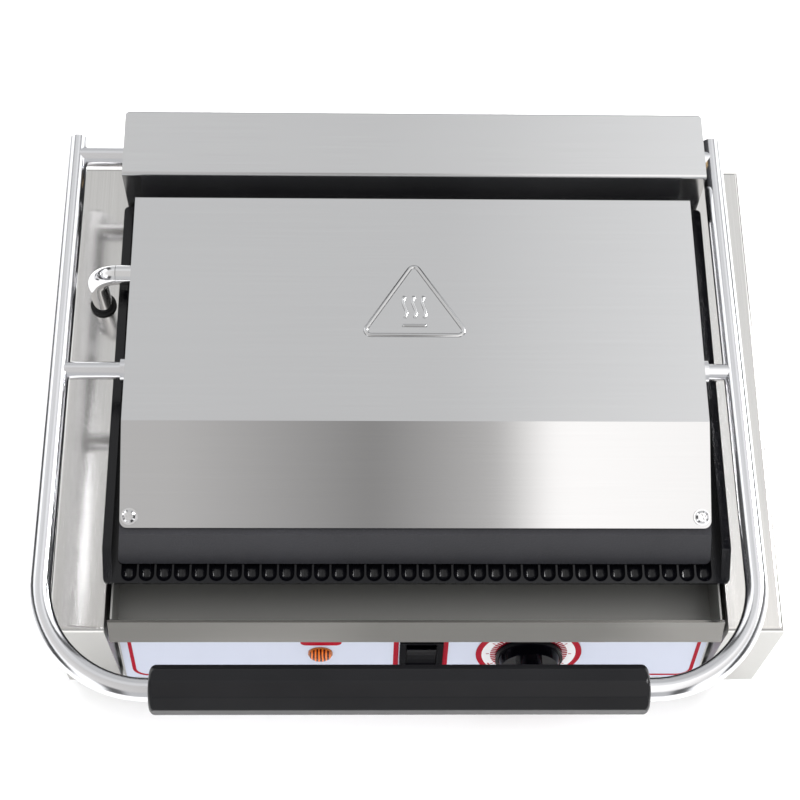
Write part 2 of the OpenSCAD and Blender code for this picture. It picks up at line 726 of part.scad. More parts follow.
module upper_plate() {
    slab = 11;
    wall = 6;
    color("#3a3a3d") at_lid() difference() {
        union() {
            difference() {
                intersection() {
                    translate([-top_half, 0, 0]) rotate([90, 0, 90]) linear_extrude(2 * top_half)
                        top_outline();
                    translate([0, top_rear, 0]) rotate([90, 0, 0]) linear_extrude(top_rear - top_front)
                        polygon([[-top_half, top_z], [top_half, top_z],
                                 [top_half - 2.6, top_wall_z], [-top_half + 2.6, top_wall_z]]);
                    translate([0, (top_front + top_rear) / 2, 0]) linear_extrude(top_wall_z)
                        round_rect(2 * top_half, top_rear - top_front, 3);
                }
                block([-top_half + wall + 4, top_front + wall + 10, top_z + slab],
                      [top_half - wall - 4, top_rear - wall - 4, top_wall_z + 1]);
            }
            // bearing posts for the pivot rods, and posts for the cover's screws
            for (s = [-1, 1]) translate([s * 145, pivot_y, top_z + slab - eps]) {
                translate([-9, -11, 0]) cube([18, 22, pivot_z - top_z - slab]);
                translate([0, 0, pivot_z - top_z - slab]) rod_x(-9, 9, 8.2);
            }
        }
        translate([0, 0, top_z]) grooves(top_front + 14, top_rear - 12, -0.3);
        for (s = [-1, 1]) translate([s * 145, pivot_y, pivot_z]) rod_x(-20, 20, 7 + fit);
        translate([0, conduit_y, conduit_z]) rod_x(-top_half - 1, -top_half + 14, conduit_r + 3.4);
        for (s = [-1, 1]) translate([s * cover_screw_x, cover_screw_y, top_wall_z - 14])
            cylinder(h = 20, r = 2 + slack);
        for (x = [-70, 70], y = clamp_y) translate([x, y, top_z + slab - 4]) cylinder(h = 6, r = 2 + slack);
    }
}

// Folded steel cover: flat top, sloped front, and sides and rear that turn down
module upper_cover() {
    slope = atan(cover_drop / (cover_crease - cover_front));
    under = top_wall_z + slack;
    low = cover_z - cover_t / cos(slope);
    lip_z = low - cover_drop;
    color("silver") at_lid() difference() {
        intersection() {
            translate([-cover_w / 2, 0, 0]) rotate([90, 0, 90]) linear_extrude(cover_w) polygon([
                [cover_rear, under], [cover_rear, cover_z], [cover_crease, cover_z],
                [cover_front, cover_z - cover_drop], [cover_front, lip_z], [cover_front + 6, under]]);
            // round front corners
            translate([0, cover_front, under - 1]) linear_extrude(cover_z) difference() {
                union() {
                    translate([-cover_w / 2 + cover_corner, 0]) square([cover_w - 2 * cover_corner, 200]);
                    translate([-cover_w / 2, cover_corner]) square([cover_w, 200]);
                    for (s = [-1, 1]) translate([s * (cover_w / 2 - cover_corner), cover_corner])
                        circle(cover_corner);
                }
            }
        }
        translate([-cover_w / 2 + cover_t, 0, 0]) rotate([90, 0, 90]) linear_extrude(cover_w - 2 * cover_t)
            polygon([[cover_rear - cover_t, under - 1], [cover_rear - cover_t, cover_z - cover_t],
                     [cover_crease + 0.17, cover_z - cover_t], [cover_front - 1, lip_z - tan(slope)],
                     [cover_front - 1, under - 1]]);
        for (s = [-1, 1]) translate([s * cover_w / 2, pivot_y, pivot_z]) rod_x(-8, 8, 7.4);
        translate([-cover_w / 2, conduit_y, conduit_z]) rod_x(-8, 8, conduit_r + 1.8);
        for (s = [-1, 1]) translate([s * cover_screw_x, cover_screw_y, 30]) cylinder(h = 20, r = 2 + slack);
    }
}

module cover_screws() {
    slope = atan(cover_drop / (cover_crease - cover_front));
    z = cover_z - (cover_crease - cover_screw_y) * tan(slope);
    color("silver") at_lid() for (s = [-1, 1]) translate([s * cover_screw_x, cover_screw_y, z]) {
        rotate([slope, 0, 0]) translate([0, 0, 0.1]) difference() {
            union() {
                cylinder(h = 0.7, r = 4.6);
                translate([0, 0, 0.7 - eps]) cylinder(h = 0.9, r = 3.6);
                translate([0, 0, 1.6 - eps]) cylinder(h = 0.9, r1 = 3.6, r2 = 2.4);
            }
            for (a = [20, 110]) rotate([0, 0, a]) translate([-1.9, -0.45, 1.2]) cube([3.8, 0.9, 2]);
        }
        translate([0, 0, -12]) cylinder(h = 12.4, r = 2);
    }
}

module pivot_bushes() {
    color("lightgray") at_lid() for (s = [0, 1]) mirror([s, 0, 0])
        translate([0, pivot_y, pivot_z]) difference() {
            rod_x(136.2, cover_w / 2 + 3, 7);
            rod_x(130, cover_w / 2 + 10, rod_r + fit);
        }
}

module upper_heater() {
    color("dimgray") at_lid() translate([0, 0, top_z + 11 + 4.1]) {
        heater_run(4, 106, -64, 62, 3.8);
        for (y = [-64, 62]) translate([-106, y, 0]) {
            sphere(3.8);
            rotate([0, -90, 0]) cylinder(h = 8, r = 3.8);
            translate([-8, 0, 0]) rotate([0, -90, 0]) cylinder(h = 8, r = 1.5);
        }
    }
}

module upper_heater_clamps() {
    color("silver") at_lid() for (x = [-70, 70]) {
        block([x - 8, -66, top_z + 19.2], [x + 8, 82, top_z + 21.2]);
        for (y = clamp_y) translate([x, y, top_z + 8]) cylinder(h = 12, r = 2);
        for (y = clamp_y) translate([x, y, top_z + 21.2 - eps]) cylinder(h = 2.6, r = 4, $fn = 6);
    }
}

module upper_insulation() {
    color("khaki") at_lid() difference() {
        block([-130, -76, top_z + 24.4], [130, 84, top_z + 32]);
        for (s = [-1, 1]) block([s * 145 - 14, pivot_y - 16, top_z], [s * 145 + 14, pivot_y + 16, cover_z]);
    }
}

module conduit_bush() {
    color("black") at_lid() translate([-cover_w / 2, conduit_y, conduit_z]) rotate([0, 90, 0])
        rotate_extrude() difference() {
            translate([conduit_r + slack, -1.6]) square([2.8, cover_t + 3.2]);
            translate([conduit_r + 1.8 - slack, -slack]) square([3, cover_t + 2 * slack]);
        }
}

// ---------------------------------------------------------------- other moving pieces

// Grease tray: open pan with a leaning front lip, which slides out to the front
module drip_tray() {
    color("dimgray") at_ledge() {
        difference() {
            block([-tray_half, tray_front, tray_floor], [tray_half, tray_back, -1]);
            block([-tray_half + tray_t, tray_front + tray_t, tray_floor + tray_t],
                  [tray_half - tray_t, tray_back - tray_t, 1]);
        }
        translate([-lip_half, 0, 0]) rotate([90, 0, 90]) linear_extrude(2 * lip_half) polygon([
            [tray_front + tray_t, -1.6], [tray_front + tray_t, 0], [tray_front - 0.4, 0],
            [tray_front - lip_out, -lip_drop], [tray_front - lip_out + 1.1, -lip_drop - 0.2],
            [tray_front - 0.2, -1.6]]);
    }
}

module thermostat_knob() {
    r = knob_d / 2;
    color("#181818") on_panel() translate([dial_x, -label_t - 0.5 - knob_gap, control_up]) difference() {
        rotate([90, 0, 0]) {
            cylinder(h = 3, r = r);
            translate([0, 0, 3 - eps]) cylinder(h = 5, r1 = r - 1.5, r2 = r - 3);
            // raised bar that the fingers turn
            intersection() {
                translate([0, 0, 7]) linear_extrude(knob_h - 7) round_rect(13, 2 * r - 6, 5);
                cylinder(h = knob_h, r1 = r + 4, r2 = r - 5);
            }
        }
        rod_y(-12, 1, stem_r + fit);
        translate([-0.6, -knob_h - 1, r - 13]) cube([1.2, 1.6, 10]);
    }
}

module thermostat_shaft() {
    color("silver") on_panel() translate([dial_x, 0, control_up]) rod_y(-12, 18, stem_r);
}

// Two-position rocker, shown pressed at its lower half
module rocker_button() {
    press = 7;
    color("black") on_panel() translate([switch_x, rocker_axis, control_up]) rotate([press, 0, 0]) {
        translate([-rocker_w / 2, 0, 0]) rotate([90, 0, 90]) linear_extrude(rocker_w) polygon([
            [2.5, -7], [-5.2, -rocker_h / 2 + 0.6], [-6.4, -rocker_h / 2 + 0.6], [-5.6, -6], [-5.2, 0],
            [-5.6, 6], [-6.4, rocker_h / 2 - 0.6], [-5.2, rocker_h / 2 - 0.6], [2.5, 7]]);
        rod_x(-rocker_w / 2 - 1.4, rocker_w / 2 + 1.4, 1.5);
    }
}

base_casing();
base_bottom_plate();
feet();
foot_screws();
foot_nuts();
case_screws();
control_panel();
panel_label();
dial_ring();
switch_housing();
lamp_body();
lamp_lens();
thermostat_body();
thermostat_bulb();
terminal_block();
wire_loom();
cable_gland();
tray_runners();
lower_plate();
plate_studs();
lower_heater();
lower_heater_clamps();
heat_shield();
hinge_cover();
hinge_cover_screws();
hinge_cheek_left();
hinge_cheek_right();
cheek_bolts();
hinge_bushes();
torsion_springs();
spring_anchor();
conduit_grommet();
conduit();
handle_bar();
handle_grip();
hinge_shaft();
shaft_collars();
pivot_rods();
upper_plate();
upper_cover();
cover_screws();
pivot_bushes();
upper_heater();
upper_heater_clamps();
upper_insulation();
conduit_bush();
drip_tray();
thermostat_knob();
thermostat_shaft();
rocker_button();
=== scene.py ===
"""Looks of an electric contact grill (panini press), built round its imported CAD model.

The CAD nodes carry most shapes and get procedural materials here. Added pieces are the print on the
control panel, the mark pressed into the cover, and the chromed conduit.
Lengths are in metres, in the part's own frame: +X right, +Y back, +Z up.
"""
import json
import math

import bmesh
import bpy
from mathutils import Matrix, Vector


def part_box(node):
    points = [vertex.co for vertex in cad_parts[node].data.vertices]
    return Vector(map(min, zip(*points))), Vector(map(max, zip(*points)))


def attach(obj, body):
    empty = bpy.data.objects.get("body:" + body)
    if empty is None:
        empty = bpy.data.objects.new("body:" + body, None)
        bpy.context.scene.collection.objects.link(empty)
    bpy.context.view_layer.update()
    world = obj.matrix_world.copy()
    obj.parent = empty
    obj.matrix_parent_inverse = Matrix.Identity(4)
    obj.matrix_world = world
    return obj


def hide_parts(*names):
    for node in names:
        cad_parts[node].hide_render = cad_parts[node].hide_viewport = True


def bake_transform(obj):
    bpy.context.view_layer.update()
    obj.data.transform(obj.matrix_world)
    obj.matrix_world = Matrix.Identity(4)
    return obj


MM = 0.001

# Where the camera stands and how it is turned, in degrees
CAMERA_PLACE = (-0.0347, -0.4354, 1.0679)
CAMERA_YAW, CAMERA_PITCH, CAMERA_ROLL = 3.32, 64.74, -3.18
CAMERA_LENS = 81.0

# Levels of the studio's ceiling and walls, as (sine of the angle to the right, level): the front ceiling has
# one dark flag in the middle and one wide pale strip to its right
WORLD_LEVEL = 1.75
FRONT_CEILING = [
    (-0.60, 0.55), (-0.10, 0.42), (0.01, 0.22), (0.08, 0.42), (0.11, 0.95), (0.18, 0.90), (0.60, 0.50)]
REAR_CEILING = [
    (-0.60, 0.60), (-0.15, 0.50), (0.05, 0.50), (0.20, 0.66), (0.60, 0.50)]
WALLS = [
    (-1.00, 0.60), (-0.95, 0.06), (-0.84, 0.05), (-0.78, 0.90), (-0.56, 0.95), (-0.50, 0.08), (-0.38, 0.06),
    (-0.30, 0.42), (0.00, 0.36), (0.30, 0.42), (0.38, 0.06), (0.50, 0.08), (0.56, 1.00), (0.78, 0.95),
    (0.84, 0.05), (0.95, 0.06), (1.00, 0.60)]
FRONT_TINT, REAR_TINT, WALL_TINT = (1.0, 0.985, 0.97), (0.99, 0.995, 1.0), (0.98, 0.99, 1.0)
CEILING_SPLIT = (0.28, 0.37)   # rearward direction at which the front ceiling turns into the rear one
WALL_TOP = (0.60, 0.78)        # upward direction at which the walls turn into the ceiling
FLOOR_HALF = 6.0

# Area lights: name, place, aim, size, power, mirrored in shiny surfaces
LIGHTS = [
    ("overhead", (0.15, 0.25, 2.2), (0.0, 0.0, 0.1), (2.4, 2.0), 46.0, False),
    ("front", (-0.5, -1.6, 1.1), (0.0, -0.1, 0.05), (1.6, 0.8), 9.0, False),
    ("glint", (1.4, 0.58, 1.05), (0.0, -0.13, 0.1), (0.3, 0.7), 20.0, True),
]

# Print on the control panel
LABEL_T = 0.4 * MM
PRINT_T = 0.08 * MM
BORDER_LINE = 2.2 * MM
BORDER_R = 9.0 * MM
TAG_HALF, TAG_LOW, TAG_H, TAG_R = 12.0 * MM, 9.2 * MM, 9 * MM, 3.5 * MM
ICON_OFF, ICON_LOW, ICON_SIZE, ICON_LINE = 33.4 * MM, 13.2 * MM, 11.8 * MM, 0.6 * MM
RING_T = 0.5 * MM
DIAL_START, DIAL_SWEEP = 240.0, 300.0
FINE_TICKS, BOLD_TICKS = 50, 10

# Mark pressed into the cover, from the casing's middle and the mark's own centre line
MARK_X = -1.6 * MM
MARK_HALF, MARK_LOW, MARK_HIGH, MARK_R = 30.0 * MM, 3.6 * MM, 49.8 * MM, 3.0 * MM
COVER_REAR_TO_MIDDLE = 92.6 * MM
SUNK = 0.02 * MM

# Conduit
CONDUIT_BEND = 12.0 * MM

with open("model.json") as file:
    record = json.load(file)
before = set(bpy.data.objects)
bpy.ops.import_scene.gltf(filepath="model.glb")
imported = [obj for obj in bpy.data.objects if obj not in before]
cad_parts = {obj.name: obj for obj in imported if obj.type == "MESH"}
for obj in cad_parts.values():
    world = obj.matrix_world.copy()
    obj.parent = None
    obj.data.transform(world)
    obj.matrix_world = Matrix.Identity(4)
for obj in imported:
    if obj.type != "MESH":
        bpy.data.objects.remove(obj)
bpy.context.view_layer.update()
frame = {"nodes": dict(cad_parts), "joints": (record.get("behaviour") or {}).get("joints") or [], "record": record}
nodes = frame["nodes"]


# ---------------------------------------------------------------- node-tree helpers

def new_material(name):
    """An empty Principled material and the handles that the builders below use."""
    mat = bpy.data.materials.new(name)
    mat.use_nodes = True
    tree = mat.node_tree
    return mat, tree, tree.nodes["Principled BSDF"]


def coords(tree, scale):
    """Object coordinates stretched by scale, a number for each axis."""
    where = tree.nodes.new("ShaderNodeTexCoord")
    mapping = tree.nodes.new("ShaderNodeMapping")
    mapping.inputs["Scale"].default_value = scale
    tree.links.new(where.outputs["Object"], mapping.inputs["Vector"])
    return mapping.outputs["Vector"]


def noise(tree, scale, detail=3.0, rough=0.5):
    """Noise value over the object's own coordinates, with scale in features per metre."""
    node = tree.nodes.new("ShaderNodeTexNoise")
    node.inputs["Scale"].default_value = 1.0
    node.inputs["Detail"].default_value = detail
    node.inputs["Roughness"].default_value = rough
    tree.links.new(coords(tree, scale), node.inputs["Vector"])
    return node.outputs["Fac"]


def remap(tree, value, low, high, start=0.25, stop=0.75):
    """value from start..stop to low..high, held at both ends."""
    node = tree.nodes.new("ShaderNodeMapRange")
    node.inputs["From Min"].default_value = start
    node.inputs["From Max"].default_value = stop
    node.inputs["To Min"].default_value = low
    node.inputs["To Max"].default_value = high
    tree.links.new(value, node.inputs["Value"])
    return node.outputs["Result"]


def mix(tree, factor, a, b):
    """Colour between a and b; each is a colour or a node's output."""
    node = tree.nodes.new("ShaderNodeMix")
    node.data_type = "RGBA"
    for value, name in ((a, "A"), (b, "B")):
        socket = next(s for s in node.inputs if s.name == name and s.type == "RGBA")
        if hasattr(value, "links"):
            tree.links.new(value, socket)
        else:
            socket.default_value = (*value, 1.0)
    tree.links.new(factor, node.inputs["Factor"])
    return next(s for s in node.outputs if s.type == "RGBA")


def bump(tree, shader, height, strength, distance):
    """Surface relief of that height field, distance in metres."""
    node = tree.nodes.new("ShaderNodeBump")
    node.inputs["Strength"].default_value = strength
    node.inputs["Distance"].default_value = distance
    tree.links.new(height, node.inputs["Height"])
    tree.links.new(node.outputs["Normal"], shader.inputs["Normal"])


def shade(colour, factor):
    """colour made darker or lighter."""
    return tuple(min(1.0, c * factor) for c in colour)


# ---------------------------------------------------------------- materials

def brushed_steel(name, colour, roughness, along="X", anisotropy=0.9, contrast=0.06, relief=0.05,
                  stain=0.0):
    """Sheet steel brushed along one axis; its gloss spreads across the marks, and stain darkens soft patches."""
    mat, tree, shader = new_material(name)
    shader.inputs["Metallic"].default_value = 1.0
    shader.inputs["Anisotropic"].default_value = anisotropy
    shader.inputs["Anisotropic Rotation"].default_value = 0.25

    def stretched(long_way, across):
        """Noise scale that runs along the brush marks."""
        return (long_way, across, across) if along == "X" else (across, long_way, across)

    scratch = noise(tree, stretched(14.0, 2600.0), 2.0)
    band = noise(tree, stretched(14.0 * 0.4, 420.0), 2.0)
    cloud = noise(tree, (9.0, 9.0, 9.0), 2.0)
    streaked = mix(tree, remap(tree, scratch, 0.0, 1.0),
                   shade(colour, 1.0 - contrast), shade(colour, 1.0 + contrast))
    finish = mix(tree, remap(tree, band, 0.0, 0.5), streaked, shade(colour, 1.0 - contrast))
    if stain:
        patch = noise(tree, stretched(5.0, 14.0), 1.0)
        finish = mix(tree, remap(tree, patch, 0.0, stain, 0.42, 0.62), finish, shade(colour, 0.3))
    tree.links.new(finish, shader.inputs["Base Color"])
    tree.links.new(remap(tree, cloud, roughness * 0.88, roughness * 1.15), shader.inputs["Roughness"])
    tangent = tree.nodes.new("ShaderNodeCombineXYZ")
    tangent.inputs["XYZ".index(along)].default_value = 1.0
    tree.links.new(tangent.outputs["Vector"], shader.inputs["Tangent"])
    bump(tree, shader, scratch, relief, 0.00004)
    return mat


def dull_and_painted_shade_past(mat, axis, start, stop, colour, roughness, metallic):
    """Change the metal's colour, roughness and metallic level from start to stop along that axis; in the tray this
    is the dull inside of a used pan, on the casing the darker colour is painted shade on the walls.
    """
    tree = mat.node_tree
    shader = tree.nodes["Principled BSDF"]
    split = tree.nodes.new("ShaderNodeSeparateXYZ")
    tree.links.new(coords(tree, (1.0, 1.0, 1.0)), split.inputs["Vector"])
    past = remap(tree, split.outputs[axis], 0.0, 1.0, start, stop)
    paint = shader.inputs["Base Color"]
    tree.links.new(mix(tree, past, paint.links[0].from_socket, colour), paint)
    rough = shader.inputs["Roughness"]
    blend = tree.nodes.new("ShaderNodeMix")
    blend.inputs["B"].default_value = roughness
    tree.links.new(rough.links[0].from_socket, blend.inputs["A"])
    tree.links.new(past, blend.inputs["Factor"])
    tree.links.new(blend.outputs["Result"], rough)
    tree.links.new(remap(tree, past, 1.0, metallic, 0.0, 1.0), shader.inputs["Metallic"])


def plain_metal(name, colour, roughness, grain=260.0, contrast=0.12, relief=0.12, depth=0.00005):
    """Metal with an even finish and faint marks."""
    mat, tree, shader = new_material(name)
    shader.inputs["Metallic"].default_value = 1.0
    speck = noise(tree, (grain, grain, grain))
    cloud = noise(tree, (18.0, 18.0, 18.0))
    tree.links.new(mix(tree, remap(tree, cloud, 0.0, 1.0), shade(colour, 1.0 - contrast), colour),
                   shader.inputs["Base Color"])
    tree.links.new(remap(tree, cloud, roughness * 0.75, roughness * 1.3), shader.inputs["Roughness"])
    bump(tree, shader, speck, relief, depth)
    return mat


def cast_iron(name, colour, roughness, grain, depth, worn=1.5, shine=0.5, relief=0.5):
    """Coated cast iron: pitted by the sand mould, a little lighter where the pits stand proud."""
    mat, tree, shader = new_material(name)
    shader.inputs["Specular IOR Level"].default_value = shine
    pits = noise(tree, (grain, grain, grain), 4.0, 0.6)
    cloud = noise(tree, (22.0, 22.0, 22.0), 3.0)
    skin = mix(tree, remap(tree, cloud, 0.0, 1.0), shade(colour, 0.85), shade(colour, 1.15))
    tree.links.new(mix(tree, remap(tree, pits, 0.0, 0.35, 0.5, 0.75), skin, shade(colour, worn)),
                   shader.inputs["Base Color"])
    tree.links.new(remap(tree, pits, roughness * 0.85, roughness * 1.2), shader.inputs["Roughness"])
    bump(tree, shader, pits, relief, depth)
    return mat


def moulded(name, colour, roughness, grain=900.0, relief=0.12, coat=0.0, spread=0.1, shine=0.5):
    """Moulded plastic, rubber or film with a fine grain."""
    mat, tree, shader = new_material(name)
    shader.inputs["Specular IOR Level"].default_value = shine
    shader.inputs["Coat Weight"].default_value = coat
    shader.inputs["Coat Roughness"].default_value = 0.08
    speck = noise(tree, (grain, grain, grain))
    cloud = noise(tree, (30.0, 30.0, 30.0))
    paint = mix(tree, remap(tree, cloud, 0.0, 1.0), shade(colour, 1.0 - spread), shade(colour, 1.0 + spread))
    tree.links.new(paint, shader.inputs["Base Color"])
    tree.links.new(remap(tree, cloud, roughness * 0.85, roughness * 1.15), shader.inputs["Roughness"])
    bump(tree, shader, speck, relief, 0.00005)
    return mat


def amber_lens(name):
    """Clear amber plastic over a lit lamp, with upright ribs pressed into its back."""
    mat, tree, shader = new_material(name)
    shader.inputs["Coat Weight"].default_value = 0.2
    shader.inputs["Coat Roughness"].default_value = 0.05
    shader.inputs["Specular IOR Level"].default_value = 0.2
    ribs = tree.nodes.new("ShaderNodeTexWave")
    ribs.inputs["Scale"].default_value = 1.0
    ribs.inputs["Distortion"].default_value = 1.5
    tree.links.new(coords(tree, (150.0, 150.0, 150.0)), ribs.inputs["Vector"])
    glow = remap(tree, ribs.outputs["Fac"], 0.0, 1.0, 0.35, 0.8)
    colour = mix(tree, glow, (0.06, 0.006, 0.0), (0.72, 0.15, 0.005))
    tree.links.new(colour, shader.inputs["Base Color"])
    tree.links.new(colour, shader.inputs["Emission Color"])
    shader.inputs["Emission Strength"].default_value = 0.15
    tree.links.new(remap(tree, glow, 0.2, 0.35, 0.0, 1.0), shader.inputs["Roughness"])
    bump(tree, shader, ribs.outputs["Fac"], 0.5, 0.0004)
    return mat


def fibre_mat(name, colour):
    """Pressed mineral wool."""
    mat, tree, shader = new_material(name)
    fibres = noise(tree, (400.0, 900.0, 900.0), 6.0, 0.7)
    tree.links.new(mix(tree, remap(tree, fibres, 0.0, 1.0), shade(colour, 0.7), colour),
                   shader.inputs["Base Color"])
    tree.links.new(remap(tree, fibres, 0.85, 1.0), shader.inputs["Roughness"])
    shader.inputs["Sheen Weight"].default_value = 0.3
    bump(tree, shader, fibres, 0.8, 0.0008)
    return mat


STEEL = (0.60, 0.60, 0.605)
ledge_steel = brushed_steel("ledge_steel", (0.62, 0.61, 0.595), 0.14, along="Y", anisotropy=0.80, stain=0.12)
LEDGE_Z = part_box("base_casing")[1].z  # walls duller than the ledges and painted darker, a painted shade that makes them stand out from the pale floor
dull_and_painted_shade_past(ledge_steel, "Z", LEDGE_Z - 2.0 * MM, LEDGE_Z - 3.0 * MM, (0.42, 0.415, 0.40), 0.30, 1.0)
tray_steel = brushed_steel("tray_steel", (0.20, 0.195, 0.185), 0.20, along="X", anisotropy=0.85, stain=0.5)
PAN_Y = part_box("drip_tray")[0].y + 9.0 * MM  # the tray's pan starts behind its lip
dull_and_painted_shade_past(tray_steel, "Y", PAN_Y - 0.5 * MM, PAN_Y, (0.30, 0.30, 0.29), 0.36, 0.60)
cover_steel = brushed_steel("cover_steel", STEEL, 0.10, along="X", anisotropy=0.95, contrast=0.018, relief=0.02)
box_steel = brushed_steel("box_steel", (0.65, 0.65, 0.655), 0.20, along="X", anisotropy=0.85, contrast=0.03,
                          relief=0.03)
chrome = plain_metal("polished_chrome", (0.74, 0.74, 0.76), 0.15, relief=0.02, contrast=0.05)
mirror_chrome = plain_metal("mirror_chrome", (0.78, 0.78, 0.79), 0.05, relief=0.02, contrast=0.05)
black_coat = plain_metal("black_coated_steel", (0.030, 0.030, 0.032), 0.40, grain=500.0, relief=0.2)
zinc = plain_metal("zinc_plate", (0.55, 0.56, 0.58), 0.38, grain=500.0, relief=0.2)
bright_zinc = plain_metal("bright_zinc", (0.82, 0.82, 0.83), 0.16, grain=700.0)
dark_steel = plain_metal("oxidised_steel", (0.16, 0.16, 0.17), 0.42, grain=500.0, relief=0.3)
brass = plain_metal("oiled_bronze", (0.24, 0.17, 0.09), 0.35, grain=800.0)
copper = plain_metal("drawn_copper", (0.72, 0.38, 0.24), 0.30, grain=800.0)
lower_iron = cast_iron("coated_iron", (0.002, 0.002, 0.003), 0.17, 1500.0, 0.00005, worn=1.3, shine=0.34,
                       relief=0.3)
upper_iron = cast_iron("sand_cast_iron", (0.021, 0.021, 0.025), 0.50, 1000.0, 0.0004, worn=2.4, shine=0.35)
grip_plastic = moulded("grip_plastic", (0.006, 0.006, 0.007), 0.32, grain=1200.0, relief=0.25, shine=0.22)
switch_plastic = moulded("switch_plastic", (0.001, 0.001, 0.002), 0.30, shine=0.02)
knob_plastic = moulded("knob_plastic", (0.001, 0.001, 0.002), 0.10, relief=0.04, shine=0.08)
rubber = moulded("black_rubber", (0.012, 0.012, 0.012), 0.70, relief=0.35, shine=0.3)
label_film = moulded("label_film", (0.52, 0.55, 0.65), 0.38, relief=0.05, spread=0.015, shine=0.2)
red_print = moulded("red_print", (0.33, 0.0, 0.014), 0.40, relief=0.05, shine=0.05)
white_print = moulded("white_print", (0.72, 0.72, 0.74), 0.40, relief=0.05, spread=0.02, shine=0.3)
lamp_plastic = moulded("lamp_plastic", (0.45, 0.13, 0.02), 0.25, relief=0.05, coat=0.4)
ceramic = moulded("terminal_ceramic", (0.74, 0.70, 0.58), 0.35, coat=0.3)
wire_sleeve = moulded("wire_sleeve", (0.42, 0.04, 0.03), 0.70, grain=1600.0, relief=0.6)
amber = amber_lens("amber_lens")
wool = fibre_mat("mineral_wool", (0.72, 0.67, 0.52))

SLOT_LOOKS = {
    "casing_steel": ledge_steel, "galvanised_steel": zinc, "cover_steel": cover_steel,
    "foot_rubber": rubber, "screw_steel": bright_zinc, "label_film": label_film,
    "label_ink": red_print, "switch_plastic": switch_plastic, "lamp_plastic": lamp_plastic,
    "lamp_amber": amber, "copper": copper, "terminal_plastic": ceramic, "wire_sleeve": wire_sleeve,
    "lower_iron": lower_iron, "upper_iron": upper_iron, "heater_steel": dark_steel,
    "bush_brass": brass, "spring_steel": dark_steel, "conduit_metal": mirror_chrome,
    "bar_chrome": chrome, "grip_plastic": grip_plastic, "insulation_wool": wool,
    "tray_steel": tray_steel, "knob_plastic": knob_plastic,
}
NODE_LOOKS = {"hinge_cover": box_steel, "hinge_cheek_left": black_coat, "hinge_cheek_right": black_coat}

for part in frame["record"]["subparts"]:
    look = NODE_LOOKS.get(part["node"], SLOT_LOOKS[part["material_slot"]])
    for place in nodes[part["node"]].material_slots:
        place.material = look


# ---------------------------------------------------------------- camera and studio

def add_camera():
    """Camera above the front edge, turned and rolled a little as the photographer held it."""
    yaw, pitch, roll = (math.radians(a) for a in (CAMERA_YAW, CAMERA_PITCH, CAMERA_ROLL))
    forward = Vector((math.sin(yaw) * math.cos(pitch), math.cos(yaw) * math.cos(pitch), -math.sin(pitch)))
    level = Vector((math.cos(yaw), -math.sin(yaw), 0.0))
    down = forward.cross(level)
    right = math.cos(roll) * level + math.sin(roll) * down
    up = math.sin(roll) * level - math.cos(roll) * down
    camera = bpy.data.objects.new("camera", bpy.data.cameras.new("camera"))
    camera.data.lens = CAMERA_LENS
    camera.data.sensor_width = 36.0
    camera.data.clip_start = 0.05
    turn = Matrix((right, up, -forward)).transposed().to_4x4()
    camera.matrix_world = Matrix.Translation(CAMERA_PLACE) @ turn
    bpy.context.collection.objects.link(camera)
    bpy.context.scene.camera = camera


def add_area_light(name, place, aim, size, power, mirrored):
    """Soft rectangular light aimed at a point; unless mirrored, shiny surfaces don't show it."""
    data = bpy.data.lights.new(name, "AREA")
    data.shape = "RECTANGLE"
    data.size, data.size_y = size
    data.energy = power
    light = bpy.data.objects.new(name, data)
    light.location = place
    light.rotation_euler = (Vector(aim) - Vector(place)).to_track_quat("-Z", "Y").to_euler()
    light.visible_glossy = mirrored
    bpy.context.collection.objects.link(light)


def ramp_along(tree, value, stops, tint):
    """Tinted level over a value from -1 to 1."""
    node = tree.nodes.new("ShaderNodeValToRGB")
    elements = node.color_ramp.elements
    ends = {0: elements[0], len(stops) - 1: elements[1]}
    for i in (0, len(stops) - 1, *range(1, len(stops) - 1)):
        place, level = stops[i]
        element = ends[i] if i in ends else elements.new(place / 2 + 0.5)
        element.position = place / 2 + 0.5
        element.color = (*shade(tint, level), 1.0)
    tree.links.new(remap(tree, value, 0.0, 1.0, -1.0, 1.0), node.inputs["Fac"])
    return node.outputs["Color"]


def add_world():
    """Studio that the steel mirrors: a soft ceiling, and walls with dark bands and pale panels."""
    world = bpy.data.worlds.new("studio")
    bpy.context.scene.world = world
    world.use_nodes = True
    tree = world.node_tree
    links = tree.links
    where = tree.nodes.new("ShaderNodeTexCoord")
    split = tree.nodes.new("ShaderNodeSeparateXYZ")
    links.new(where.outputs["Generated"], split.inputs["Vector"])

    rearward = remap(tree, split.outputs["Y"], 0.0, 1.0, *CEILING_SPLIT)
    ceiling = mix(tree, rearward, ramp_along(tree, split.outputs["X"], FRONT_CEILING, FRONT_TINT),
                  ramp_along(tree, split.outputs["X"], REAR_CEILING, REAR_TINT))
    walls = ramp_along(tree, split.outputs["X"], WALLS, WALL_TINT)
    overhead = remap(tree, split.outputs["Z"], 0.0, 1.0, *WALL_TOP)
    # seen directly, beyond the table, the studio is plain white
    seen = tree.nodes.new("ShaderNodeLightPath").outputs["Is Camera Ray"]
    links.new(mix(tree, seen, mix(tree, overhead, walls, ceiling), (1.0, 1.0, 1.0)),
              tree.nodes["Background"].inputs["Color"])
    tree.nodes["Background"].inputs["Strength"].default_value = WORLD_LEVEL


